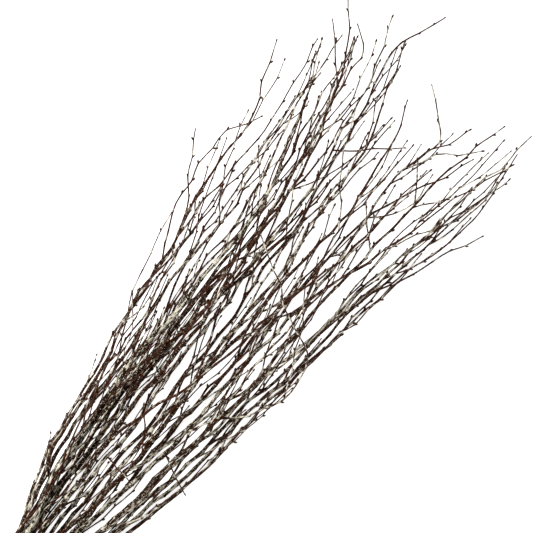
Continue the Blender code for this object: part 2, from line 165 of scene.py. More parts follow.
def smooth_between(stations, values, at):
    """Values at the given places on a smooth curve through the stations that doesn't overshoot them."""
    slope = np.diff(values) / np.diff(stations)
    before, after = slope[:-1], slope[1:]
    same_way = before * after > 0
    mean = np.where(same_way, 2 * before * after / np.where(same_way, before + after, 1), 0)
    return curve_through(stations, values, np.concatenate([slope[:1], mean, slope[-1:]]), at)


def taper(base, tip, count):
    return tip + (base - tip) * (1 - np.linspace(0, 1, count)) ** TAPER_POWER


def rising(low, high, share):
    """The height along a shoot: it climbs fastest near its base."""
    return low + (high - low) * (RISE_AT_BASE * share - (RISE_AT_BASE - 1) * share**2)


def resting(points, radii):
    """The same points, with no wood under the table but the little that is flattened where it rests."""
    points = points.copy()
    points[:, 2] = np.maximum(points[:, 2], SUNK_INTO_TABLE * radii)
    return points


def segment_distances(a0, a1, b0, b1):
    """The least distance from each segment a to each segment b."""
    u, v, w = (a1 - a0)[:, None], (b1 - b0)[None], a0[:, None] - b0[None]
    uu, uv, vv = (u * u).sum(-1), (u * v).sum(-1), (v * v).sum(-1)
    uw, vw = (u * w).sum(-1), (v * w).sum(-1)
    s = np.clip((uv * vw - vv * uw) / np.maximum(uu * vv - uv * uv, 1e-14), 0, 1)
    t = np.clip((uv * s + vw) / vv, 0, 1)
    s = np.clip((uv * t - uw) / uu, 0, 1)
    return np.linalg.norm(w + s[..., None] * u - t[..., None] * v, axis=-1)


class Thicket:
    """The wood placed so far, which each new shoot has to stay clear of."""

    def __init__(self):
        self.shoots = {}
        self.owners = []
        self.starts = np.empty((0, 3))
        self.ends = np.empty((0, 3))
        self.thickness = np.empty(0)

    def add(self, shoot):
        self.shoots[shoot.name] = shoot
        self.owners += [shoot.name] * (len(shoot.points) - 1)
        self.starts = np.concatenate([self.starts, shoot.points[:-1]])
        self.ends = np.concatenate([self.ends, shoot.points[1:]])
        self.thickness = np.concatenate([self.thickness, np.maximum(shoot.radii[:-1], shoot.radii[1:])])

    def room(self, points, radii, parent=None):
        """The least gap to the rest of the wood. The first stretch may lie inside the shoot's parent."""
        if not self.owners:
            return np.inf
        gap = segment_distances(points[:-1], points[1:], self.starts, self.ends)
        gap -= np.maximum(radii[:-1], radii[1:])[:, None] + self.thickness[None]
        gap[0, [owner == parent for owner in self.owners]] = np.inf
        return gap.min()


def packed_butts(radii, toward):
    """Where the stems pass the tie, as (across, up): drawn tight, each on the side that it fans out to."""
    places = toward * LOOSE_SPREAD
    reach = radii[:, None] + radii[None] + PACKING_GAP
    others = ~np.eye(len(radii), dtype=bool)
    for draw in range(DRAWS + LAST_PUSHES):
        if draw < DRAWS:
            places = places * DRAWN_IN
        for _ in range(PUSHES_PER_DRAW):
            apart = places[:, None] - places[None]
            distance = np.linalg.norm(apart, axis=-1) + 1e-9
            push = np.where(others, np.maximum(reach - distance, 0), 0)
            places = places + (apart / distance[..., None] * push[..., None]).sum(1) * PUSH
    return places


def convex_outline(points):
    """The convex outline of points in a plane, counter-clockwise."""
    points = points[np.lexsort((points[:, 1], points[:, 0]))]

    def chain(ordered):
        kept = []
        for p in ordered:
            while len(kept) > 1:
                a, b = kept[-1] - kept[-2], p - kept[-1]
                if a[0] * b[1] - a[1] * b[0] > 0:
                    break
                kept.pop()
            kept.append(p)
        return kept[:-1]

    return np.array(chain(points) + chain(points[::-1]))


def twine_loop(places, radii, rounding):
    """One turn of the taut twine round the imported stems, as (across, up), starting on top."""
    angles = np.linspace(0, 2 * np.pi, rounding, endpoint=False)
    ring = np.stack([np.cos(angles), np.sin(angles)], axis=1) / np.cos(np.pi / rounding)
    reach = radii + TWINE_RADIUS + PACKING_GAP
    outline = convex_outline((places[:, None] + ring[None] * reach[:, None, None]).reshape(-1, 2))
    return np.roll(outline, -outline[:, 1].argmax(), axis=0)


def stem_path(branch, slot, height, aside):
    """A stem from its cut end through its place at the tie, along its guide points and up to its tip."""
    tip_along = branch.guides[-1][0]
    straight_end = TIE_ALONG + STRAIGHT_PAST_TIE
    alongs = np.array([0.0, TIE_ALONG, straight_end] + [along for along, _ in branch.guides])
    acrosses = np.array([slot[0]] * 3 + [across + aside for _, across in branch.guides])
    share = np.clip((alongs - straight_end) / (tip_along - straight_end), 0, 1)
    heights = rising(slot[1], height, share)
    closer_at_tip = 1 - (1 - np.linspace(0, 1, STEM_POINTS - 1)) ** POINTS_TOWARD_TIP
    at = np.concatenate([[branch.cut], straight_end + (tip_along - straight_end) * closer_at_tip])
    return np.stack([at, smooth_between(alongs, acrosses, at), smooth_between(alongs, heights, at)], axis=1)


def first_clear(thicket, courses, radii, parent=None):
    """The first of these courses that is clear of the rest of the wood, or the one with the most room."""
    tries = []
    for points in courses:
        points = resting(points, radii)
        tries.append((thicket.room(points, radii, parent), points))
        if tries[-1][0] > CLEARANCE:
            break
    return max(tries, key=lambda found: found[0])[1]


def place_stems(thicket, places):
    """Places every stem, each at the nearest height to its own where it is clear."""
    shifts = [(aside, rise) for aside in SIDE_SHIFTS for rise in HEIGHT_SHIFTS]
    for number, branch in enumerate(BRANCHES):
        radii = taper(branch.girth / 2, TIP_RADIUS, STEM_POINTS)
        courses = (stem_path(branch, places[number], branch.height + rise, aside) for aside, rise in shifts)
        name = f"branch_{number + 1:02d}_stem"
        thicket.add(Shoot(name, None, 0, name, first_clear(thicket, courses, radii), radii))


stem_radii = np.array([branch.girth / 2 for branch in BRANCHES])
fan_sides = np.array([(branch.guides[1][1], max(branch.height, 0)) for branch in BRANCHES])
tie_places = packed_butts(stem_radii, fan_sides - fan_sides.mean(0))
tie_outline = twine_loop(tie_places, stem_radii, ROUNDING_OF_TURN)
tie_places[:, 1] += SUNK_INTO_TABLE * TWINE_RADIUS - tie_outline[:, 1].min()
thicket = Thicket()
place_stems(thicket, tie_places)

# The plan's origin in the frame: the lowest butt is at its low end, and the twine's middle at the tie's.
tie_low, tie_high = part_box("tie")
tie_middle = (tie_outline[:, 0].min() + tie_outline[:, 0].max()) / 2
PLAN_ORIGIN = np.array([cad_low[0], (tie_low[1] + tie_high[1]) / 2 - tie_middle, 0.0])

# Limbs
# The two main forks of each branch, seven tenths as thick as the stem where they leave it. They run on beside
# it, and two of them have a course of their own that the photo shows.
LIMBS_PER_STEM = 2
ODD_POINTS = 10

# How a kind of shoot grows: its base as a share of its parent's radius, its least radius there and the one at
# its tip, its points, how far it leans off its parent in degrees, how much its tip bends to the bunch's left,
# which was up when the tree stood, and the greatest and least length that it may have.
Growth = namedtuple("Growth", "share least tip points lean bend longest shortest")
LIMB = Growth(0.70, 0.0012, 0.0008, points=7, lean=(15, 25), bend=0.05, longest=0.62, shortest=0.30)

# An odd shoot: its branch, the height of its tip, and the points (along, across) of its course.
ODD_LIMBS = (
    (1, 105, (610, 116), (695, 145), (760, 156), (825, 129)),
    (10, 165, (475, -40), (590, -105), (629, -106), (666, -49), (714, 42)),
)


def in_metres(*pairs):
    """These pairs of millimetres as two rows of metres."""
    return np.transpose(pairs) * MM


# How far the limbs and twigs reach: to the left and to the right at places along the bunch, and along it at
# places from its right to its left.
LEFT_EDGE = in_metres((130, 35), (330, 73), (560, 113), (660, 150), (900, 160), (1100, 184))
RIGHT_EDGE = in_metres((130, 35), (360, 82), (550, 105), (740, 122), (890, 148), (1100, 156))
TIP_EDGE = in_metres(
    (-170, 880), (-140, 990), (-100, 990), (-60, 960), (20, 950), (60, 1020),
    (90, 1010), (130, 950), (150, 900), (170, 900), (180, 780),
)

# The point that the shoots fan out from, and how a shoot's direction is found: it tries azimuths about its
# parent, each with a small error, and when none is clear it tries them again at a shorter length. Its tip
# ends up between its parent's way and the fan's, turned outward and aside a little.
FAN_POINT = (-0.10, 0.0, 0.03)
SHORTER = (1, 0.85, 0.7, 0.55)
AZIMUTH_TRIES = 14
AZIMUTH_STEP = 0.42
AZIMUTH_ERROR = 0.15
TURNED_OUT = (-0.10, 0.40)
TURNED_ASIDE = 0.10
LIMB_STATIONS = (2, 4)
LIMB_LATER = (1, 3)
LIMB_BETWEEN = (0.25, 0.75)
LIMB_REACH = (0.6, 1.0)
LIMB_STRAY = 0.7
ODD_THINNER = 0.8


def arc(start, leave, arrive, length, count):
    """A cubic Bezier curve of about this length that leaves one way and bends round to another."""
    third = length / 3
    a = start + leave * third
    b = a + unit(leave + arrive) * third
    end = b + arrive * third
    t = np.linspace(0, 1, count)[:, None]
    return (1 - t) ** 3 * start + 3 * t * (1 - t) ** 2 * a + 3 * t**2 * (1 - t) * b + t**3 * end


def within_bunch(points):
    along, across, up = points.T
    inside = across < np.interp(along, *LEFT_EDGE)
    inside &= across > -np.interp(along, *RIGHT_EDGE)
    inside &= along < np.interp(across, *TIP_EDGE)
    return inside.all() and up.max() < TOP_OF_BUNCH


def fork_at(parent, station):
    """The parent's place, direction and radius at a station: 2.5 is halfway between its points 2 and 3."""
    k = min(int(station), len(parent.points) - 2)
    f = station - k
    place = parent.points[k] * (1 - f) + parent.points[k + 1] * f
    radius = parent.radii[k] * (1 - f) + parent.radii[k + 1] * f
    return place, unit(parent.points[k + 1] - parent.points[k]), radius


def grow(thicket, name, parent, station, growth, length, side, rng, home=None, gap=CLEARANCE):
    """Grows one shoot from a fork, or none where no azimuth and length is clear."""
    start, along, thickness = fork_at(parent, station)
    level = unit(np.cross(along, (0, 0, 1)))
    upward = np.cross(level, along)
    fan = unit(start - np.array(FAN_POINT))
    radii = taper(max(thickness * growth.share, growth.least), growth.tip, growth.points)
    for shorter in SHORTER:
        for turn in range(AZIMUTH_TRIES):
            swing = (turn + 1) // 2 * (-1) ** turn * AZIMUTH_STEP
            azimuth = side + swing + rng.uniform(-AZIMUTH_ERROR, AZIMUTH_ERROR)
            outward = np.cos(azimuth) * level + np.sin(azimuth) * upward
            lean = np.radians(rng.uniform(*growth.lean))
            leave = np.cos(lean) * along + np.sin(lean) * outward
            turned = outward * rng.uniform(*TURNED_OUT) + rng.normal(0, TURNED_ASIDE, 3)
            arrive = unit((along + fan) / 2 + turned + np.array((0, growth.bend, 0)))
            points = resting(arc(start, leave, arrive, length * shorter, growth.points), radii)
            points[0] = start
            if within_bunch(points) and thicket.room(points, radii, parent.name) > gap:
                thicket.add(Shoot(name, parent.name, station, home or name, points, radii))
                return


def place_odd(thicket, name, odd, growth, home):
    """A limb or twig with a course of its own, at the nearest height to its own where it is clear."""
    number, height, *guides = odd
    course = np.array(guides) * MM
    parent = thicket.shoots[f"branch_{number:02d}_stem"]
    station = np.interp(course[0, 0], parent.points[:, 0], np.arange(len(parent.points)))
    start, _, thickness = fork_at(parent, station)
    course[0] = start[:2]
    run = run_along(course)
    at = np.linspace(0, run[-1], ODD_POINTS)
    in_plan = [smooth_between(run, course[:, axis], at) for axis in (0, 1)]
    base = max(thickness * growth.share * ODD_THINNER, growth.least)
    radii = taper(base, growth.tip, ODD_POINTS)
    rises = (rising(start[2], height * MM + rise, at / run[-1]) for rise in HEIGHT_SHIFTS)
    courses = (np.stack([*in_plan, up], axis=1) for up in rises)
    points = first_clear(thicket, courses, radii, parent.name)
    thicket.add(Shoot(name, parent.name, station, home, points, radii))


for odd in ODD_LIMBS:
    name = f"branch_{odd[0]:02d}_limb_1"
    place_odd(thicket, name, odd, LIMB, name)
for limb in range(1, LIMBS_PER_STEM + 1):
    for number in range(1, len(BRANCHES) + 1):
        name = f"branch_{number:02d}_limb_{limb}"
        if name in thicket.shoots:
            continue
        rng = np.random.default_rng([number, limb])
        parent = thicket.shoots[f"branch_{number:02d}_stem"]
        station = LIMB_STATIONS[limb - 1] + rng.integers(*LIMB_LATER) + rng.uniform(*LIMB_BETWEEN)
        left = parent.points[-1, 0] - fork_at(parent, station)[0][0]
        length = np.clip(left * rng.uniform(*LIMB_REACH), LIMB.shortest, LIMB.longest)
        side = rng.normal(0, LIMB_STRAY) + np.pi * ((number + limb) % 2)
        grow(thicket, name, parent, station, LIMB, length, side, rng)

# Side twigs
# The twigs that the solids carry too: two on a stem and one on every other limb, joined to the wood there, a
# quarter of a metre long at the lowest fork and shorter toward the tip.
TWIGS_ON_STEM = 2
TWIGS_ON_LIMB = (1, 0)
TWIG_STATIONS_OF_STEM = (3, 10)
TWIG_STATIONS_OF_LIMB = (1, 5)
TWIG_ERROR = (-0.4, 0.6)
TWIG_BETWEEN = (0.2, 0.8)
SHORTER_AT_TIP = 0.14
TWIG_LENGTHS = (0.7, 1.1)
TWIG_STRAY = 0.8
TWIG_SEED = 7
TWIG = Growth(0.55, 0.0010, 0.0007, points=4, lean=(22, 40), bend=0.25, longest=0.24, shortest=0.05)

axes = list(thicket.shoots.values())
for row, axis in enumerate(axes):
    is_stem = axis.parent is None
    count = TWIGS_ON_STEM if is_stem else TWIGS_ON_LIMB[row % 2]
    first, last = TWIG_STATIONS_OF_STEM if is_stem else TWIG_STATIONS_OF_LIMB
    for twig in range(1, count + 1):
        rng = np.random.default_rng([row, TWIG_SEED, twig])
        step = first + int((last - first) * (twig - 0.5) / count + rng.uniform(*TWIG_ERROR))
        station = step + rng.uniform(*TWIG_BETWEEN)
        share = (station - first) / (last - first)
        length = (TWIG.longest - SHORTER_AT_TIP * share) * rng.uniform(*TWIG_LENGTHS)
        length = np.clip(length, TWIG.shortest, TWIG.longest)
        side = rng.normal(0, TWIG_STRAY) + np.pi * (twig % 2)
        grow(thicket, f"{axis.name}_twig_{twig}", axis, station, TWIG, length, side, rng, axis.name)

# Odd twigs
# Side shoots that lie across the others, as the photo shows them: three short ones low in the bunch and six
# among the tips.
ODD_TWIG = TWIG._replace(least=0.0011, tip=0.0008)
ODD_TWIGS = (
    (6, 120, (392, 9), (391, -10), (389, -34)),
    (6, 110, (462, 12), (445, -4), (427, -19)),
    (10, 110, (440, -38), (432, -64), (422, -90)),
    (6, 120, (850, 40), (870, 15), (887, -4), (906, -24)),
    (10, 150, (890, -41), (921, -51), (948, -65), (969, -73)),
    (10, 135, (880, -41), (915, -54), (933, -67), (946, -85), (962, -96)),
    (13, 160, (860, -77), (884, -62), (904, -46)),
    (13, 155, (784, -73), (801, -56), (825, -32)),
    (5, 165, (880, 74), (925, 80), (955, 82), (969, 94), (979, 109)),
)

for row, odd in enumerate(ODD_TWIGS):
    home = f"branch_{odd[0]:02d}_stem"
    place_odd(thicket, f"{home}_twig_odd_{row}", odd, ODD_TWIG, home)

# Whips
# Long thin shoots of last year's growth, which run up between the stems. They are finer than the solids'
# twigs and fill the sheaf between them.
WHIPS_ON_STEM = (0, 0, 9, 5, 2, 2, 2, 2, 3, 2, 1, 8, 1, 1, 1, 1, 2, 1, 5)
WHIP_STATIONS = (1.1, 4.8)
WHIP_BETWEEN = (0.1, 0.9)
WHIP_LENGTHS = (0.65, 1.0)
WHIP_SEED = 11
WHIP = Growth(0.34, 0.0009, 0.0007, points=6, lean=(9, 20), bend=0.14, longest=0.46, shortest=0.14)
WHIP_GAP = 0.0002

for row, count in enumerate(WHIPS_ON_STEM):
    axis = axes[row]
    first, last = WHIP_STATIONS
    for whip in range(count):
        rng = np.random.default_rng([row, WHIP_SEED, whip])
        station = first + (last - first) * (whip + rng.uniform(*WHIP_BETWEEN)) / count
        share = (station - first) / (last - first)
        length = (WHIP.longest - (WHIP.longest - WHIP.shortest) * share) * rng.uniform(*WHIP_LENGTHS)
        side = rng.uniform(0, 2 * np.pi)
        name = f"{axis.name}_whip_{whip}"
        grow(thicket, name, axis, station, WHIP, length, side, rng, axis.name, WHIP_GAP)

# Finest twigs
# Side shoots little more than a millimetre thick, the last to grow: one on a stem where there is room for it.
SPRAY = Growth(0.62, 0.0008, 0.0006, points=5, lean=(18, 52), bend=0.30, longest=0.18, shortest=0.03)
SPRAY_FROM = 0.24
SPRAY_GAP = 0.0001
SPRAY_BETWEEN = (0.15, 0.95)
SPRAY_LENGTHS = (1.3, 2.6)
SPRAY_AT_BASE = 1.15
SPRAY_LESS_AT_TIP = 0.6
SPRAY_STRAY = 0.9
SPRAY_SEED = 23

for row, stem in enumerate(axes[: len(BRANCHES)]):
    rng = np.random.default_rng([row, SPRAY_SEED])
    share = rng.uniform(*SPRAY_BETWEEN)
    station = (STEM_POINTS - 1) * share
    drawn = rng.beta(*SPRAY_LENGTHS) * (SPRAY_AT_BASE - SPRAY_LESS_AT_TIP * share)
    length = SPRAY.shortest + (SPRAY.longest - SPRAY.shortest) * drawn
    side = rng.normal(0, SPRAY_STRAY)
    if fork_at(stem, station)[0][0] > SPRAY_FROM:
        grow(thicket, stem.name + "_spray", stem, station, SPRAY, length, side, rng, stem.name, SPRAY_GAP)

# Nodes and kinks of the wood
# A birch shoot runs on a little to one side at each node, swells there, and swells again where it leaves its
# parent. Past the tie it also sways by two or three millimetres, as grown wood does.
NODE_EVERY = (0.017, 0.031)
FIRST_NODE = (0.3, 0.9)
LAST_NODE_FROM_TIP = 0.005
STRAIGHT_STEP = 0.02
COLLAR_POINT = 0.003
KINK = 0.0017
KINK_DRAW = (0.5, 1.2)
KINK_OF_RADIUS = ((0.001, 0.0038), (1.0, 0.3))
FULL_KINK_PAST_TIE = 0.02
NODE_WIDTH = 0.0020
NODE_SWELL = 0.30
PALE_NODES = 0.45
PALE_WIDTH = 0.0011
COLLAR_LENGTH = 0.0035
COLLAR_SWELL = 0.35
INSIDE_PARENT = 0.9
SWAY = 0.0022
SIDE_SWAY = 0.0026
FULL_SWAY_LENGTH = 0.25
WAVES = (((0.15, 0.26), 1.0), ((0.06, 0.10), 0.4))
STEM_FIRM_UP_TO = 0.12
FIRM_UP_TO = 0.03
FIRM_UP_TO_FORK = 0.05
EDGE_MARGIN = 0.0042
EDGE_POWER = 1.5
SLENDER = ((0.0006, 0.0030), (0.88, 1.0))
BUD_TWIST = (0.1, 0.5)
BUDS_BELOW_RADIUS = 0.0026
BUD_LEAN = (0.25, 0.6)
BUD_SEAT = 0.62
END_BUD_SUNK = 0.0004
END_BUD_ERROR = 0.08
COURSE_SEED = 31

# A course is a shoot as it really runs: the length from its base, the point in the frame, the radius and how
# much the bark has peeled pale at each of its points, its bark's tone, and the place and aim of each bud.
Course = namedtuple("Course", "shoot at points radii pale tone buds")


def along_curve(run, points, at, straight_start):
    """Points on a smooth curve through all of these. A straight start keeps its first stretch straight."""
    slope = np.gradient(points, run, axis=0)
    if straight_start:
        slope[:2] = (points[1] - points[0]) / (run[1] - run[0])
    return curve_through(run, points, slope, at)


def across_frame(points, upright=(0, 0, 1)):
    """The way that the line runs at each point and two directions square to it, the first level."""
    way = np.gradient(points, axis=0)
    way /= np.linalg.norm(way, axis=1, keepdims=True)
    level = np.cross(way, upright)
    level /= np.maximum(np.linalg.norm(level, axis=1, keepdims=True), 1e-6)
    return way, level, np.cross(level, way)


def course_of(shoot, courses, rng):
    """Runs one shoot through its nodes, from where it forks off its parent's own course."""
    run = run_along(shoot.points)
    total = run[-1]
    is_stem = shoot.parent is None
    free_from = TIE_ALONG + STRAIGHT_PAST_TIE if is_stem else 0.0
    gaps = rng.uniform(*NODE_EVERY, int(total / NODE_EVERY[0]) + 2)
    nodes = free_from + rng.uniform(*FIRST_NODE) * NODE_EVERY[0] + np.cumsum(gaps) - gaps[0]
    nodes = nodes[nodes < total - LAST_NODE_FROM_TIP]
    between = (nodes[:-1] + nodes[1:]) / 2
    firm = np.concatenate([np.arange(0, free_from, STRAIGHT_STEP), [0, COLLAR_POINT, total]])
    at = np.concatenate([firm, nodes - NODE_WIDTH, nodes, nodes + NODE_WIDTH, between])
    at = np.unique(np.round(at[(at >= 0) & (at <= total)], 5))
    points = along_curve(run, shoot.points, at, is_stem)
    _, level, upward = across_frame(points)

    free = np.clip((at - free_from) / (STEM_FIRM_UP_TO if is_stem else FIRM_UP_TO), 0, 1)[:, None]
    free = free * free * (3 - 2 * free)
    sway = SWAY if is_stem else SIDE_SWAY * min(1, total / FULL_SWAY_LENGTH)
    for direction in (level, upward):
        for wave, size in [(rng.uniform(*lengths), size) for lengths, size in WAVES]:
            phase = rng.uniform(0, 2 * np.pi)
            aside = sway * size * np.sin(at * 2 * np.pi / wave + phase)[:, None]
            points = points + direction * free * aside

    first_turn = rng.uniform(0, 2 * np.pi)
    turn = first_turn + np.arange(len(nodes)) * (np.pi + rng.uniform(*BUD_TWIST))
    thin = np.interp(nodes, run, shoot.radii)
    kink = KINK * rng.uniform(*KINK_DRAW, len(nodes)) * np.interp(thin, *KINK_OF_RADIUS)
    kink *= np.clip((nodes - free_from) / FULL_KINK_PAST_TIE, 0, 1)
    if len(nodes):
        for direction, wave in ((level, np.cos(turn)), (upward, np.sin(turn))):
            points = points + direction * np.interp(at, nodes, kink * wave)[:, None]

    if shoot.parent:
        parent = thicket.shoots[shoot.parent]
        parent_run = run_along(parent.points)
        fork = np.interp(shoot.station, np.arange(len(parent_run)), parent_run)
        wood = courses[shoot.parent]
        place = np.array([np.interp(fork, wood.at, wood.points[:, axis]) for axis in range(3)])
        moved = place - points[0] - PLAN_ORIGIN
        points = points + moved * np.exp(-at / FIRM_UP_TO_FORK)[:, None]
        parent_radius = np.interp(fork, wood.at, wood.radii)

    radii = np.interp(at, run, shoot.radii)
    radii = radii * np.interp(radii, *SLENDER)
    pale = np.zeros(len(at))
    for node in nodes:
        radii = radii * (1 + NODE_SWELL * np.exp(-(((at - node) / NODE_WIDTH) ** 2)))
        if rng.uniform() < PALE_NODES:
            pale = np.maximum(pale, np.exp(-(((at - node - NODE_WIDTH) / PALE_WIDTH) ** 2)))
    if shoot.parent:
        radii = radii * (1 + COLLAR_SWELL * np.exp(-at / COLLAR_LENGTH))
        radii[0] = min(radii[0], parent_radius * INSIDE_PARENT)
    points = points + PLAN_ORIGIN
    points[:, 2] = np.maximum(points[:, 2], SUNK_INTO_TABLE * radii)
    toward_tip = (np.clip(at / total, 0, 1) ** EDGE_POWER)[:, None]
    low = np.array(cad_low) + EDGE_MARGIN
    high = np.array(cad_high) - EDGE_MARGIN
    low[0] = low[2] = -np.inf
    over = np.maximum(points.max(0) - high, 0) - np.maximum(low - points.min(0), 0)
    points = points - over * toward_tip

    way, level, upward = across_frame(points)
    buds = []
    for number, node in enumerate(nodes):
        k = min(np.searchsorted(at, np.round(node, 5)), len(at) - 1)
        outward = np.cos(turn[number]) * level[k] + np.sin(turn[number]) * upward[k]
        if radii[k] < BUDS_BELOW_RADIUS:
            aim = unit(way[k] + outward * rng.uniform(*BUD_LEAN))
            buds.append((points[k] + outward * radii[k] * BUD_SEAT, aim))
    end_aim = unit(way[-1] + rng.normal(0, END_BUD_ERROR, 3))
    buds.append((points[-1] - way[-1] * END_BUD_SUNK, end_aim))
    return Course(shoot, at, points, radii, pale, rng.uniform(0, 1), buds)


courses = {}
for number, shoot in enumerate(thicket.shoots.values()):
    courses[shoot.name] = course_of(shoot, courses, np.random.default_rng([number, COURSE_SEED]))

# Bark over the wood
# Each stem, limb and twig is a tapering tube of wood under bark. Its rings and patches follow it, so it
# carries its bark place: the length along the shoot, and where round the shoot the bark is, both in metres.
AXIS_SIDES = 12
TWIG_SIDES = 6
PATTERN_GAP = 0.5


def tree(name, *inputs):
    """An empty tree of geometry nodes with named inputs, and its input and output nodes."""
    group = bpy.data.node_groups.new(name, "GeometryNodeTree")
    for label, kind in (("Geometry", "Geometry"), *inputs):
        group.interface.new_socket(label, in_out="INPUT", socket_type="NodeSocket" + kind)
    group.interface.new_socket("Geometry", in_out="OUTPUT", socket_type="NodeSocketGeometry")
    return group, group.nodes.new("NodeGroupInput"), group.nodes.new("NodeGroupOutput")


def put(group, socket, value):
    """Gives a socket its value, which is another socket or a plain value."""
    if isinstance(value, bpy.types.NodeSocket):
        group.links.new(value, socket)
    else:
        socket.default_value = value


def fill(group, node, **inputs):
    """Gives a node its inputs. A name has underscores for spaces, and at_0 is the first input."""
    for key, value in inputs.items():
        put(group, node.inputs[int(key[3:]) if key.startswith("at_") else key.replace("_", " ")], value)


def add(group, kind, settings=None, **inputs):
    """Adds a node with these settings and inputs."""
    node = group.nodes.new(kind)
    for key, value in (settings or {}).items():
        setattr(node, key, value)
    fill(group, node, **inputs)
    return node


def named(group, label, kind="FLOAT"):
    """A stored attribute of the geometry."""
    node = add(group, "GeometryNodeInputNamedAttribute", {"data_type": kind}, Name=label)
    return next(out for out in node.outputs if out.enabled and out.name == "Attribute")


def store(group, geometry, label, vector):
    """Stores a vector at each point of the geometry."""
    settings = {"data_type": "FLOAT_VECTOR", "domain": "POINT"}
    node = add(group, "GeometryNodeStoreNamedAttribute", settings, Geometry=geometry, Name=label)
    fill(group, node, Value=vector)
    return node.outputs["Geometry"]


def end_tree(group, geometry, material, result):
    """Ends a tree in plain mesh that is shaded smooth and has this material."""
    real = add(group, "GeometryNodeRealizeInstances", Geometry=geometry)
    smooth = add(group, "GeometryNodeSetShadeSmooth", Geometry=real.outputs[0])
    painted = add(group, "GeometryNodeSetMaterial", Geometry=smooth.outputs[0], Material=material)
    group.links.new(painted.outputs[0], result.inputs[0])
    return group


def tube_tree():
    counts = (("Axis sides", "Int"), ("Twig sides", "Int"))
    group, given, result = tree("wood under bark", *counts, ("Bark", "Material"))
    joined = add(group, "GeometryNodeJoinGeometry")
    apart = add(group, "GeometryNodeSeparateGeometry", {"domain": "POINT"}, Geometry=given.outputs[0])
    fill(group, apart, Selection=named(group, "is_axis", "BOOLEAN"))
    for part, sides in ((0, "Axis sides"), (1, "Twig sides")):
        curve = add(group, "GeometryNodeMeshToCurve", Mesh=apart.outputs[part])
        circle = add(group, "GeometryNodeCurvePrimitiveCircle", Resolution=given.outputs[sides], Radius=1.0)
        position = add(group, "GeometryNodeInputPosition").outputs[0]
        ring = store(group, circle.outputs["Curve"], "around", position)
        girth = named(group, "girth")
        tube = add(group, "GeometryNodeCurveToMesh", Curve=curve.outputs["Curve"], Profile_Curve=ring)
        fill(group, tube, Scale=girth, Fill_Caps=True)
        around = add(group, "ShaderNodeSeparateXYZ", Vector=named(group, "around", "FLOAT_VECTOR"))
        places = [math(group, "MULTIPLY", around.outputs[axis], girth) for axis in (0, 1)]
        place = add(group, "ShaderNodeCombineXYZ", X=named(group, "along"), Y=places[0], Z=places[1])
        stored = store(group, tube.outputs["Mesh"], "bark_place", place.outputs[0])
        group.links.new(stored, joined.inputs[0])
    return end_tree(group, joined.outputs[0], given.outputs["Bark"], result)


def mesh_of(name, places):
    """A mesh with a vertex at each of these places."""
    mesh = bpy.data.meshes.new(name)
    mesh.vertices.add(len(places))
    mesh.vertices.foreach_set("co", np.array(places, np.float32).ravel())
    return mesh


def store_in(mesh, label, kind, values, key="value"):
    """Stores one value at each point of the mesh."""
    mesh.attributes.new(label, kind, "POINT").data.foreach_set(key, values)


def lines_mesh(name, lines):
    """A mesh of open lines. Each line is its points and a dictionary of the attributes along it."""
    counts = [len(points) for points, _ in lines]
    mesh = mesh_of(name, np.concatenate([points for points, _ in lines]))
    starts = np.cumsum([0] + counts[:-1])
    firsts = np.concatenate([np.arange(n - 1) + start for n, start in zip(counts, starts)])
    pairs = np.stack([firsts, firsts + 1], 1)
    mesh.edges.add(len(pairs))
    mesh.edges.foreach_set("vertices", pairs.ravel())
    for label in lines[0][1]:
        values = np.concatenate([np.broadcast_to(given[label], n) for (_, given), n in zip(lines, counts)])
        if values.dtype == bool:
            store_in(mesh, label, "BOOLEAN", values)
        else:
            store_in(mesh, label, "FLOAT", values.astype(np.float32))
    return mesh


def linked(name, data):
    """A new object with this data."""
    made = bpy.data.objects.new(name, data)
    bpy.context.scene.collection.objects.link(made)
    return made


def grown(name, mesh, group, settings):
    """The plain mesh that a tree of geometry nodes makes from this one."""
    source = linked(name + " source", mesh)
    modifier = source.modifiers.new("tree", "NODES")
    modifier.node_group = group
    for item in group.interface.items_tree:
        if item.name in settings:
            modifier[item.identifier] = settings[item.name]
    made = bpy.data.meshes.new_from_object(source.evaluated_get(bpy.context.evaluated_depsgraph_get()))
    bpy.data.objects.remove(source)
    made.name = name
    only = made.materials[-1]
    made.materials.clear()
    made.materials.append(only)
    made.polygons.foreach_set("material_index", np.zeros(len(made.polygons), np.int32))
    return made


def on_the_table(mesh):
    """No vertex lies under the table."""
    places = np.empty(len(mesh.vertices) * 3, np.float32)
    mesh.vertices.foreach_get("co", places)
    places[2::3] = np.maximum(places[2::3], 0)
    mesh.vertices.foreach_set("co", places)
    mesh.update()


def shown(name, mesh, slot, *nodes):
    """A finished piece that rides on the bunch and stands for these nodes."""
    piece = linked(name, mesh)
    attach(piece, "root")
    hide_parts(*nodes)


# Birch bark: thin shoots are a red-brown, older wood is nearly black, and flakes of cream-white papery bark
# lie along both, ragged at their edges.
YOUNG_BARK = (0.096, 0.019, 0.004)
YOUNG_DARK = (0.016, 0.005, 0.001)
OLD_BARK = (0.033, 0.016, 0.004)
OLD_DARK = (0.004, 0.002, 0.001)
PAPER_BARK = (0.90, 0.84, 0.70)
PAPER_STAIN = (0.36, 0.33, 0.22)
LENTICEL = (0.74, 0.68, 0.56)

# A pattern's scale is its repeats in a metre along the shoot and across it. It is 0 below its low level and 1
# above its high one.
Pattern = namedtuple("Pattern", "scale detail roughness low high")
STREAKS = Pattern((120, 1500, 1500), 3, 0.5, 0.35, 0.65)
STAINS = Pattern((260, 700, 700), 2, 0.5, 0.34, 0.56)
DOTS = Pattern((900, 330, 330), 0, 0.5, 0.68, 0.72)
FLAKE_SCALE = (105, 520, 520)
CLUSTER_SCALE = (16, 60, 60)
RELIEF_SCALE = (400, 1800, 1800)

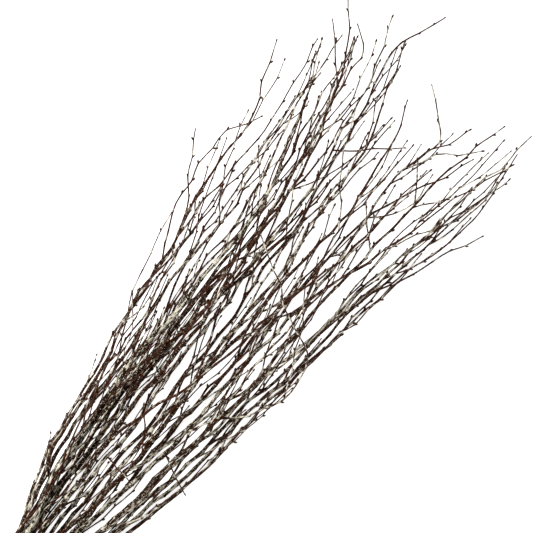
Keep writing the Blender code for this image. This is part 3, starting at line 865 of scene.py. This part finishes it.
# The bark is young below the first of these two radii and old above the second, and its tone ages it too. It
# is papery where the noise of the flakes, with what clusters, tone and pale nodes add, passes a level.
OLD_FROM, OLD_AT = 0.0008, 0.0034
OLDER_BY_TONE = 0.35
OLDER_BY_RADIUS = 0.75
MORE_IN_CLUSTERS = 0.34
MORE_BY_TONE = 0.17
MORE_AT_NODES = 0.13
PAPER_FROM, PAPER_AT = 0.600, 0.610
ROUGH = 0.50
ROUGHER_OLD = 0.18
ROUGHER_PAPER = 0.15
PAPER_RELIEF = 0.5


def shader_tree(name):
    material = bpy.data.materials.new(name)
    material.use_nodes = True
    return material, material.node_tree, material.node_tree.nodes["Principled BSDF"]


def blend(group, share, a, b):
    """A colour from a to b by a share."""
    node = add(group, "ShaderNodeMix", {"data_type": "RGBA"}, at_0=share)
    for socket, color in ((node.inputs[6], a), (node.inputs[7], b)):
        put(group, socket, (*color, 1) if isinstance(color, tuple) else color)
    return node.outputs[2]


def ramp(group, value, low, high):
    """0 below low, 1 above high, smooth between."""
    smooth = {"interpolation_type": "SMOOTHSTEP"}
    return add(group, "ShaderNodeMapRange", smooth, Value=value, From_Min=low, From_Max=high).outputs[0]


def math(group, operation, *values):
    node = add(group, "ShaderNodeMath", {"operation": operation})
    for socket, value in zip(node.inputs, values):
        put(group, socket, value)
    return node.outputs[0]


def noise(group, place, scale, detail=2.0, roughness=0.5, distortion=0.0):
    """Noise over a place that is scaled by its own three numbers first."""
    scaled = add(group, "ShaderNodeMapping", Vector=place, Scale=scale).outputs[0]
    node = add(group, "ShaderNodeTexNoise", Vector=scaled, Scale=1.0, Detail=detail, Roughness=roughness)
    fill(group, node, Distortion=distortion)
    return node.outputs[0]


def pattern(group, place, kind):
    """One of the patterns above, over a place."""
    return ramp(group, noise(group, place, kind.scale, kind.detail, kind.roughness), kind.low, kind.high)


def attribute(group, label, output="Fac"):
    """What the mesh stores under this name, as a material reads it."""
    return add(group, "ShaderNodeAttribute", {"attribute_name": label}).outputs[output]


def relieve(group, shader, height, strength, distance):
    """Gives a material's surface the relief of this height."""
    bump = add(group, "ShaderNodeBump", Height=height, Strength=strength, Distance=distance)
    fill(group, shader, Normal=bump.outputs[0])


def bark_material():
    material, group, shader = shader_tree("birch bark")
    place = attribute(group, "bark_place", "Vector")
    girth = attribute(group, "girth")
    tone = attribute(group, "tone")
    age = ramp(group, girth, OLD_FROM, OLD_AT)

    streaks = pattern(group, place, STREAKS)
    young = blend(group, streaks, YOUNG_DARK, YOUNG_BARK)
    old = blend(group, streaks, OLD_DARK, OLD_BARK)
    aged = math(group, "MULTIPLY_ADD", tone, OLDER_BY_TONE, math(group, "MULTIPLY", age, OLDER_BY_RADIUS))
    wood = blend(group, aged, young, old)

    height = noise(group, place, FLAKE_SCALE, detail=3.0, roughness=0.58, distortion=0.3)
    clusters = noise(group, place, CLUSTER_SCALE, detail=1)
    for value, weight in ((clusters, MORE_IN_CLUSTERS), (tone, MORE_BY_TONE)):
        more = math(group, "MULTIPLY", math(group, "SUBTRACT", value, 0.5), weight)
        height = math(group, "ADD", height, more)
    pale = attribute(group, "pale")
    height = math(group, "MULTIPLY_ADD", pale, MORE_AT_NODES, height)
    paper = ramp(group, height, PAPER_FROM, PAPER_AT)
    clean = pattern(group, place, STAINS)
    color = blend(group, paper, wood, blend(group, clean, PAPER_STAIN, PAPER_BARK))

    bare_age = math(group, "MULTIPLY", age, math(group, "SUBTRACT", 1.0, paper))
    dots = math(group, "MULTIPLY", pattern(group, place, DOTS), bare_age)
    color = blend(group, dots, color, LENTICEL)
    rough = math(group, "MULTIPLY_ADD", age, ROUGHER_OLD, ROUGH)
    rough = math(group, "MULTIPLY_ADD", paper, ROUGHER_PAPER, rough)
    fill(group, shader, Base_Color=color, Roughness=rough, Specular_IOR_Level=0.08)
    relief = math(group, "MULTIPLY_ADD", paper, PAPER_RELIEF, noise(group, place, RELIEF_SCALE, detail=3))
    relieve(group, shader, math(group, "ADD", relief, dots), strength=0.7, distance=0.0002)
    return material


# The sawn ends are pale wood, with growth rings about the pith and fine rays across them.
END_GRAIN = (0.56, 0.44, 0.29)
END_RING = (0.40, 0.28, 0.16)
CUT_SLANT = 0.45
SLANT_TURN = 2.4
RING_WAVES = 9000.0
RING_UNEVEN = 0.0006
RING_SCALE = (1, 500, 500)
RING_SHARE = 0.3
RAY_SCALE = (1, 2600, 2600)
RIM_WITHIN = 1.05
RIM_DEPTH = 0.0005


def end_grain_material():
    material, group, shader = shader_tree("cut birch wood")
    place = attribute(group, "bark_place", "Vector")
    flat = add(group, "ShaderNodeMapping", Vector=place, Scale=(0, 1, 1)).outputs[0]
    from_pith = add(group, "ShaderNodeVectorMath", {"operation": "LENGTH"}, at_0=flat).outputs["Value"]
    uneven = math(group, "MULTIPLY_ADD", noise(group, place, RING_SCALE), RING_UNEVEN, from_pith)
    rings = math(group, "SINE", math(group, "MULTIPLY", uneven, RING_WAVES))
    rays = noise(group, place, RAY_SCALE, detail=3)
    share = math(group, "ADD", math(group, "MULTIPLY", rings, RING_SHARE), ramp(group, rays, 0.3, 0.8))
    fill(group, shader, Base_Color=blend(group, share, END_GRAIN, END_RING), Roughness=0.8)
    relieve(group, shader, math(group, "ADD", rays, rings), strength=0.4, distance=0.0001)
    return material


def cut_the_butt(mesh, course, slant_way):
    """Turns the tube's flat first end into a slanting cut of bare wood, with its pith as a vertex."""
    edit = bmesh.new()
    edit.from_mesh(mesh)
    edit.verts.ensure_lookup_table()
    start, radius = course.points[0], course.radii[0]
    rim = [v for v in edit.verts if np.linalg.norm(np.array(v.co) - start) < radius * RIM_WITHIN]
    rim = [v for v in rim if abs(v.co.x - start[0]) < RIM_DEPTH]
    cap = next(f for f in edit.faces if len(f.verts) == len(rim) and all(v in rim for v in f.verts))
    made = bmesh.ops.poke(edit, faces=[cap])
    place = edit.verts.layers.float_vector["bark_place"]
    for vertex in made["verts"]:
        vertex[place] = (vertex[place][0], 0, 0)
    for face in made["faces"]:
        face.material_index = 1
        face.smooth = False
    for vertex in rim + list(made["verts"]):
        lean = (vertex.co.y - start[1]) * np.cos(slant_way) + (vertex.co.z - start[2]) * np.sin(slant_way)
        vertex.co.x += CUT_SLANT * (lean + radius)
    edit.to_mesh(mesh)
    edit.free()


end_grain = end_grain_material()
wood_tree = tube_tree()
homes = {}
for course in courses.values():
    homes.setdefault(course.shoot.home, []).append(course)
offset = 0.0
tubes = {"Axis sides": AXIS_SIDES, "Twig sides": TWIG_SIDES, "Bark": bark_material()}
for row, (home, group_courses) in enumerate(homes.items()):
    lines = []
    for course in group_courses:
        given = {
            "girth": course.radii,
            "along": course.at + offset,
            "pale": course.pale,
            "tone": course.tone,
            "is_axis": np.full(len(course.at), course.shoot.name == home),
        }
        lines.append((course.points, given))
        offset += course.at[-1] + PATTERN_GAP
    wood = grown(home + "_wood", lines_mesh(home, lines), wood_tree, tubes)
    is_stem = home.endswith("stem")
    if is_stem:
        wood.materials.append(end_grain)
        cut_the_butt(wood, group_courses[0], row * SLANT_TURN)
    on_the_table(wood)
    shown(home + "_wood", wood, "stem bark" if is_stem else "limb bark", home)

# Buds
# A small pointed bud sits at each node, on one side and then the other, and one ends every shoot. Their
# overlapping scales are a dark glossy red-brown.
BUD_LENGTH = (0.0034, 0.0052)
BUD_SCALES = (0.090, 0.034, 0.016)
BUD_SHADE = (0.030, 0.011, 0.006)
BUD_WIDTH = 0.36
BUD_NARROWER = 0.20
BUD_MOTTLE = Pattern((900, 900, 900), 2, 0.5, 0.35, 0.65)
BUD_SIDES = 6
BUD_RINGS = 4
BUD_SEED = 41


def bud_tree():
    group, given, result = tree("buds on the twigs", ("Scales", "Material"))
    ball = add(group, "GeometryNodeMeshUVSphere", Segments=BUD_SIDES, Rings=BUD_RINGS, Radius=1.0)
    place = add(group, "ShaderNodeSeparateXYZ", Vector=add(group, "GeometryNodeInputPosition").outputs[0])
    up = math(group, "MULTIPLY_ADD", place.outputs["Z"], 0.5, 0.5)
    narrow = math(group, "SUBTRACT", BUD_WIDTH, math(group, "MULTIPLY", up, BUD_NARROWER))
    width = [math(group, "MULTIPLY", place.outputs[axis], narrow) for axis in (0, 1)]
    shape = add(group, "ShaderNodeCombineXYZ", X=width[0], Y=width[1], Z=up)
    bud = add(group, "GeometryNodeSetPosition", Geometry=ball.outputs["Mesh"], Position=shape.outputs[0])
    aim = named(group, "aim", "FLOAT_VECTOR")
    turn = add(group, "FunctionNodeAlignRotationToVector", {"axis": "Z"}, Vector=aim)
    placed = add(group, "GeometryNodeInstanceOnPoints", Points=given.outputs[0], Instance=bud.outputs[0])
    fill(group, placed, Rotation=turn.outputs[0], Scale=named(group, "bud_length"))
    return end_tree(group, placed.outputs[0], given.outputs["Scales"], result)


def bud_material():
    material, group, shader = shader_tree("bud scales")
    place = add(group, "ShaderNodeTexCoord").outputs["Object"]
    mottled = pattern(group, place, BUD_MOTTLE)
    color = blend(group, mottled, BUD_SHADE, BUD_SCALES)
    rough = math(group, "MULTIPLY_ADD", mottled, 0.2, 0.4)
    fill(group, shader, Base_Color=color, Roughness=rough, Specular_IOR_Level=0.15)
    return material


def points_mesh(name, places, aims, lengths):
    mesh = mesh_of(name, places)
    store_in(mesh, "aim", "FLOAT_VECTOR", np.array(aims, np.float32).ravel(), "vector")
    store_in(mesh, "bud_length", "FLOAT", np.array(lengths, np.float32))
    return mesh


buds_on_twigs = bud_tree()
bud_scales = {"Scales": bud_material()}
for number in range(1, len(BRANCHES) + 1):
    branch_name = f"branch_{number:02d}"
    rng = np.random.default_rng([number, BUD_SEED])
    own_courses = [course for course in courses.values() if course.shoot.home.startswith(branch_name)]
    buds = [bud for course in own_courses for bud in course.buds]
    lengths = rng.uniform(*BUD_LENGTH, len(buds))
    source = points_mesh(branch_name, [place for place, _ in buds], [aim for _, aim in buds], lengths)
    mesh = grown(branch_name + "_buds", source, buds_on_twigs, bud_scales)
    on_the_table(mesh)
    shown(branch_name + "_buds", mesh, "limb bark")

# Tie
# Three taut turns of three-ply jute twine hold the stems together near their butts. The strands are twisted,
# and the ends are knotted on top.
TWINE_TURNS = 3
TWINE_PITCH = 0.0036
STRAND_RADIUS = 0.00078
STRAND_FROM_MIDDLE = 0.00080
TWIST_LENGTH = 0.0085
TWINE_STEP = 0.0008
TWINE_SIDES = 7
ROUNDING_OF_TWINE = 24
KNOT_TURN = (1.08 * np.pi, 2.92 * np.pi)
KNOT_SIZE = 0.0016
KNOT_RISE = 0.0044
KNOT_ENDS = ((-0.017, -0.010, 0.0), (0.020, -0.009, 0.0))
KNOT_DROP = 0.006
KNOT_POINTS = 60
KNOT_END_POINTS = 40
JUTE = (0.54, 0.39, 0.22)
# The darker jute is partly the twine's own fibre tone and partly painted shade in the grooves between fibre
# strands.
JUTE_GROOVE_SHADE = (0.26, 0.165, 0.080)
FIBRES = Pattern((500, 5200, 5200), 4, 0.6, 0.32, 0.68)
WORN_SCALE = (60, 300, 300)


def twine_course(loop):
    """The middle of the twine: three turns side by side, in the frame."""
    around = np.concatenate([loop, loop[:1]])
    run = run_along(around)
    at = np.arange(0, run[-1] * TWINE_TURNS, TWINE_STEP)
    ring = np.stack([np.interp(at % run[-1], run, around[:, axis]) for axis in (0, 1)], axis=1)
    along = TIE_ALONG + TWINE_PITCH * (at / run[-1] - TWINE_TURNS / 2)
    return np.stack([along, ring[:, 0], ring[:, 1]], axis=1) + PLAN_ORIGIN


def strands(points):
    """The three strands that twist round this line."""
    at = run_along(points)
    _, side, over = across_frame(points, upright=(1, 0, 0))
    for ply in range(3):
        turn = (at / TWIST_LENGTH + ply / 3) * 2 * np.pi
        outward = np.cos(turn)[:, None] * side + np.sin(turn)[:, None] * over
        yield points + STRAND_FROM_MIDDLE * outward, at + ply


def jute_material():
    material, group, shader = shader_tree("jute twine")
    place = attribute(group, "bark_place", "Vector")
    fibres_and_groove_shade = pattern(group, place, FIBRES)
    uneven = noise(group, place, WORN_SCALE)
    share = math(group, "MULTIPLY", fibres_and_groove_shade, math(group, "ADD", uneven, 0.45))
    # The jute is darker where the fibre relief is low: partly its own fibre tone, partly painted shade in the
    # grooves between fibre strands.
    fill(group, shader, Base_Color=blend(group, share, JUTE_GROOVE_SHADE, JUTE), Roughness=0.95)
    relieve(group, shader, fibres_and_groove_shade, strength=0.8, distance=0.0002)
    return material


def knot_course(top):
    """An overhand knot on top of the turns, and the twine's two cut ends, which lie along the stems."""
    turn = np.linspace(*KNOT_TURN, KNOT_POINTS)
    along = np.sin(turn) + 2 * np.sin(2 * turn)
    across = np.cos(turn) - 2 * np.cos(2 * turn)
    loops = top + np.stack([along, across, -np.sin(3 * turn)], 1) * KNOT_SIZE
    ends = []
    for knot_end, way in ((loops[0], KNOT_ENDS[0]), (loops[-1], KNOT_ENDS[1])):
        share = np.linspace(0, 1, KNOT_END_POINTS)[1:, None]
        ends.append(knot_end + np.array(way) * share + np.array((0, 0, -KNOT_DROP)) * share**2)
    return np.concatenate([ends[0][::-1], loops, ends[1]])


twine_loop_fine = twine_loop(tie_places, stem_radii, ROUNDING_OF_TWINE)
twine_middles = [twine_course(twine_loop_fine)]
on_top = np.array((TWINE_TURNS * TWINE_PITCH / 2, 0, KNOT_RISE))
twine_middles.append(knot_course(twine_middles[0][0] + on_top))
twine_lines = []
for ply_points, ply_at in [strand for middle in twine_middles for strand in strands(middle)]:
    attributes = {"girth": STRAND_RADIUS, "along": ply_at, "is_axis": np.full(len(ply_at), False)}
    twine_lines.append((ply_points, attributes))
jute = {"Twig sides": TWINE_SIDES, "Bark": jute_material()}
twine = grown("tie_twine", lines_mesh("tie", twine_lines), wood_tree, jute)
on_the_table(twine)
shown("tie_twine", twine, "twine", "tie")

# Floor, light and camera
# A plain white table under soft light from all round, with a broad lamp at the upper left. The table top also
# glows by itself, though it is no lamp: painted light that washes out the shadows which the bunch casts on it
# and lights the wood from below. The camera looks straight down, with the bunch running from the lower left
# to the upper right.
FLOOR_SIZE = 24.0
FLOOR_WHITE = (0.90, 0.90, 0.895)
FLOOR_SHADE = 0.985
# FLOOR_GLOW is painted light: the table top glows though it is no lamp, so the bunch's shadows on it stay
# white.
FLOOR_GLOW = 0.86
FLOOR_DROP = 0.0002
WORLD_LIGHT = 0.07
LAMP_POWER = 68
LAMP_PLACE = (-0.6, 1.2, 2.2)
LAMP_TURN = (-28.6, -15, 0)
BUNCH_TILT = 50
VIEW_WIDTH = 0.64
CAMERA_HEIGHT = 5.0
VIEW_CENTER = (0.692, 0.010)
MIDDLE_HEIGHT = 0.09


def floor_material():
    material, group, shader = shader_tree("white table")
    place = add(group, "ShaderNodeTexCoord").outputs["Object"]
    cloudy = noise(group, place, (3, 3, 3))
    white = blend(group, cloudy, tuple(c * FLOOR_SHADE for c in FLOOR_WHITE), FLOOR_WHITE)
    fill(group, shader, Base_Color=white, Roughness=0.9, Specular_IOR_Level=0.1)
    # The table glows by itself, a painted light that washes out the shadows on it and lights the wood from
    # below.
    fill(group, shader, Emission_Color=(1, 1, 1, 1), Emission_Strength=FLOOR_GLOW)
    return material


half = FLOOR_SIZE / 2
floor_mesh = bpy.data.meshes.new("table_top")
corners = [(-half, -half, 0), (half, -half, 0), (half, half, 0), (-half, half, 0)]
floor_mesh.from_pydata(corners, [], [(0, 1, 2, 3)])
floor_mesh.materials.append(floor_material())
floor = linked("table_top", floor_mesh)
floor.location.z = -FLOOR_DROP

world = bpy.data.worlds.new("studio")
world.use_nodes = True
fill(world.node_tree, world.node_tree.nodes["Background"], Color=(1, 1, 1, 1), Strength=WORLD_LIGHT)
bpy.context.scene.world = world

lamp_data = bpy.data.lights.new("broad lamp", "AREA")
lamp_data.shape = "DISK"
lamp_data.size = 1.0
lamp_data.energy = LAMP_POWER
lamp = linked("broad lamp", lamp_data)
lamp.location = LAMP_PLACE
lamp.rotation_euler = np.radians(LAMP_TURN)

camera_data = bpy.data.cameras.new("camera")
camera_data.sensor_width = 36
camera_data.lens = camera_data.sensor_width / VIEW_WIDTH * CAMERA_HEIGHT
camera_data.clip_end = 50
camera = linked("camera", camera_data)
camera.location = PLAN_ORIGIN + np.array([*VIEW_CENTER, CAMERA_HEIGHT + MIDDLE_HEIGHT])
camera.rotation_euler = (0, 0, np.radians(-BUNCH_TILT))
bpy.context.scene.camera = camera
bpy.context.scene.view_settings.view_transform = "Standard"
